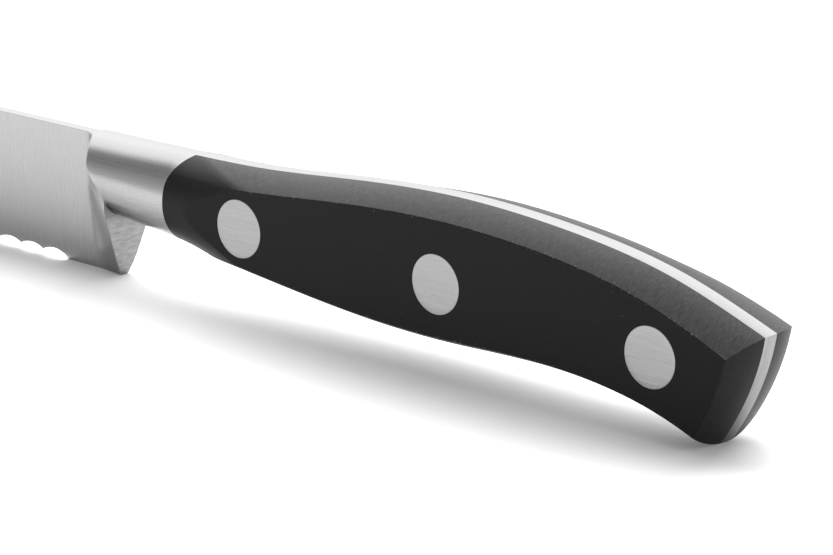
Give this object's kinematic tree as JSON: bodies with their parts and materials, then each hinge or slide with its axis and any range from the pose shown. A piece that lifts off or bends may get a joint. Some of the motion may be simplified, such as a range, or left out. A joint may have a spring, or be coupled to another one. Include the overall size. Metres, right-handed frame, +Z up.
{
  "type": "tomato knife",
  "caption": "Full-tang kitchen knife for tomatoes: slim pointed blade with a scalloped edge, rounded bolster with finger guard, curved black grip scales held by flush rivets.",
  "frame": {"origin": "centre of the knife's length and thickness, on the surface that its heel and butt stand on", "axes": "+X from the tip to the butt, +Y from the left side to the right side, +Z up from the edge to the spine"},
  "size_m": [0.2428, 0.0128, 0.0232],
  "materials": {
    "forged_steel": "fine ground stainless steel, lines from spine to edge on the blade and along the neck",
    "grip_plastic": "black moulded plastic, satin sides and cross-ground crowns",
    "rivet_steel": "brushed stainless steel, ground flush with the grip"
  },
  "bodies": {
    "root": {"blade_forging": "forged_steel", "scale_left": "grip_plastic", "scale_right": "grip_plastic", "rivet_front_head": "rivet_steel", "rivet_front_pin": "rivet_steel", "rivet_middle_head": "rivet_steel", "rivet_middle_pin": "rivet_steel", "rivet_rear_head": "rivet_steel", "rivet_rear_pin": "rivet_steel"}
  },
  "joints": []
}
